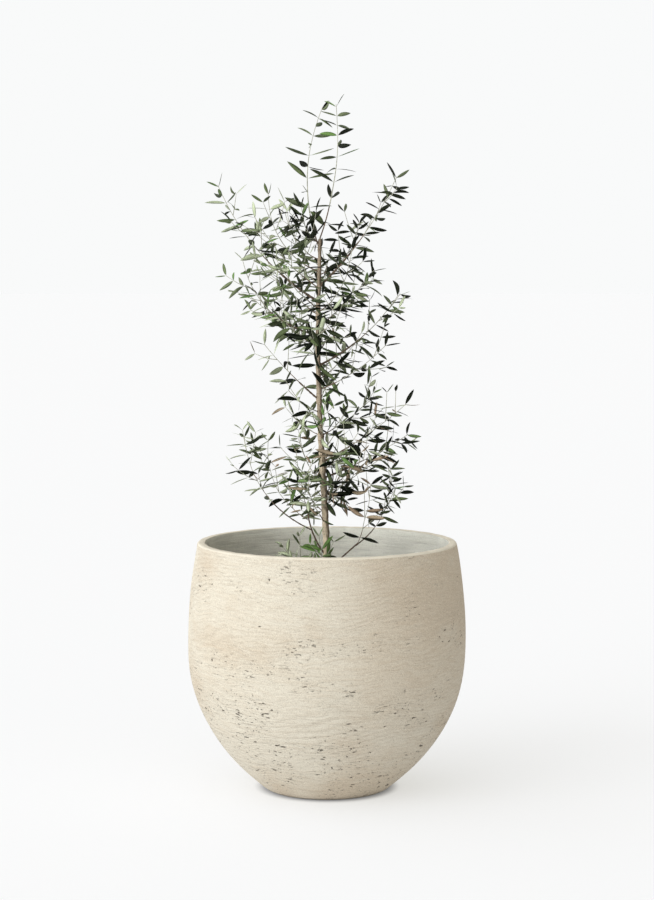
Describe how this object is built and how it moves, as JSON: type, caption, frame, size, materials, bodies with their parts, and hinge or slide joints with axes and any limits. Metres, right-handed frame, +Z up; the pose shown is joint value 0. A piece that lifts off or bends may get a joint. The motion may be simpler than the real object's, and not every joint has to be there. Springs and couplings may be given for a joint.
{
  "type": "potted olive tree",
  "caption": "Young olive tree with a slim straight trunk, airy upright crown and narrow leaves, growing in soil in a round-bellied stone planter.",
  "frame": {"origin": "centre of the planter's flat underside, at the level that it stands on", "axes": "+Z up along the planter's axis and the trunk, +X to the right and +Y to the back as seen from the front"},
  "size_m": [0.556, 0.556, 1.3914],
  "materials": {
    "travertine_stone": "matte",
    "potting_soil": "matte",
    "olive_bark": "matte",
    "olive_leaf": "satin"
  },
  "bodies": {
    "root": {"planter": "travertine_stone", "soil": "potting_soil", "trunk": "olive_bark", "bough_foot_left": "olive_bark", "bough_foot_left_far": "olive_bark", "bough_foot_right": "olive_bark", "bough_foot_right_outer": "olive_bark", "bough_left_reach": "olive_bark", "bough_low_right_long": "olive_bark", "bough_low_right_side": "olive_bark", "bough_mid_left": "olive_bark", "bough_right_reach": "olive_bark", "bough_upper_left_long": "olive_bark", "bough_upper_right_long": "olive_bark", "foliage_crown_tuft": "olive_leaf", "foliage_foot_left_far": "olive_leaf", "foliage_foot_left_outer": "olive_leaf", "foliage_foot_left_upright": "olive_leaf", "foliage_foot_right_inner": "olive_leaf", "foliage_foot_right_outer": "olive_leaf", "foliage_front_whorl": "olive_leaf", "foliage_leader_left": "olive_leaf", "foliage_leader_right": "olive_leaf", "foliage_left_back": "olive_leaf", "foliage_left_back_low": "olive_leaf", "foliage_left_front": "olive_leaf", "foliage_left_front_low": "olive_leaf", "foliage_left_low": "olive_leaf", "foliage_left_reach": "olive_leaf", "foliage_low_back": "olive_leaf", "foliage_low_back_left": "olive_leaf", "foliage_low_back_right": "olive_leaf", "foliage_low_front": "olive_leaf", "foliage_low_left_high": "olive_leaf", "foliage_low_left_stem": "olive_leaf", "foliage_low_right_hang": "olive_leaf", "foliage_low_right_high": "olive_leaf", "foliage_low_right_long": "olive_leaf", "foliage_low_right_side": "olive_leaf", "foliage_low_right_whorl": "olive_leaf", "foliage_mid_back": "olive_leaf", "foliage_mid_front": "olive_leaf", "foliage_mid_left": "olive_leaf", "foliage_mid_left_back": "olive_leaf", "foliage_mid_left_front": "olive_leaf", "foliage_right_back": "olive_leaf", "foliage_right_front": "olive_leaf", "foliage_right_mid": "olive_leaf", "foliage_right_reach": "olive_leaf", "foliage_sprout_left": "olive_leaf", "foliage_sprout_near": "olive_leaf", "foliage_upper_back": "olive_leaf", "foliage_upper_left_back": "olive_leaf", "foliage_upper_left_front": "olive_leaf", "foliage_upper_left_inner": "olive_leaf", "foliage_upper_left_long": "olive_leaf", "foliage_upper_right_front": "olive_leaf", "foliage_upper_right_inner": "olive_leaf", "foliage_upper_right_long": "olive_leaf", "foliage_upper_right_side": "olive_leaf"}
  },
  "joints": []
}
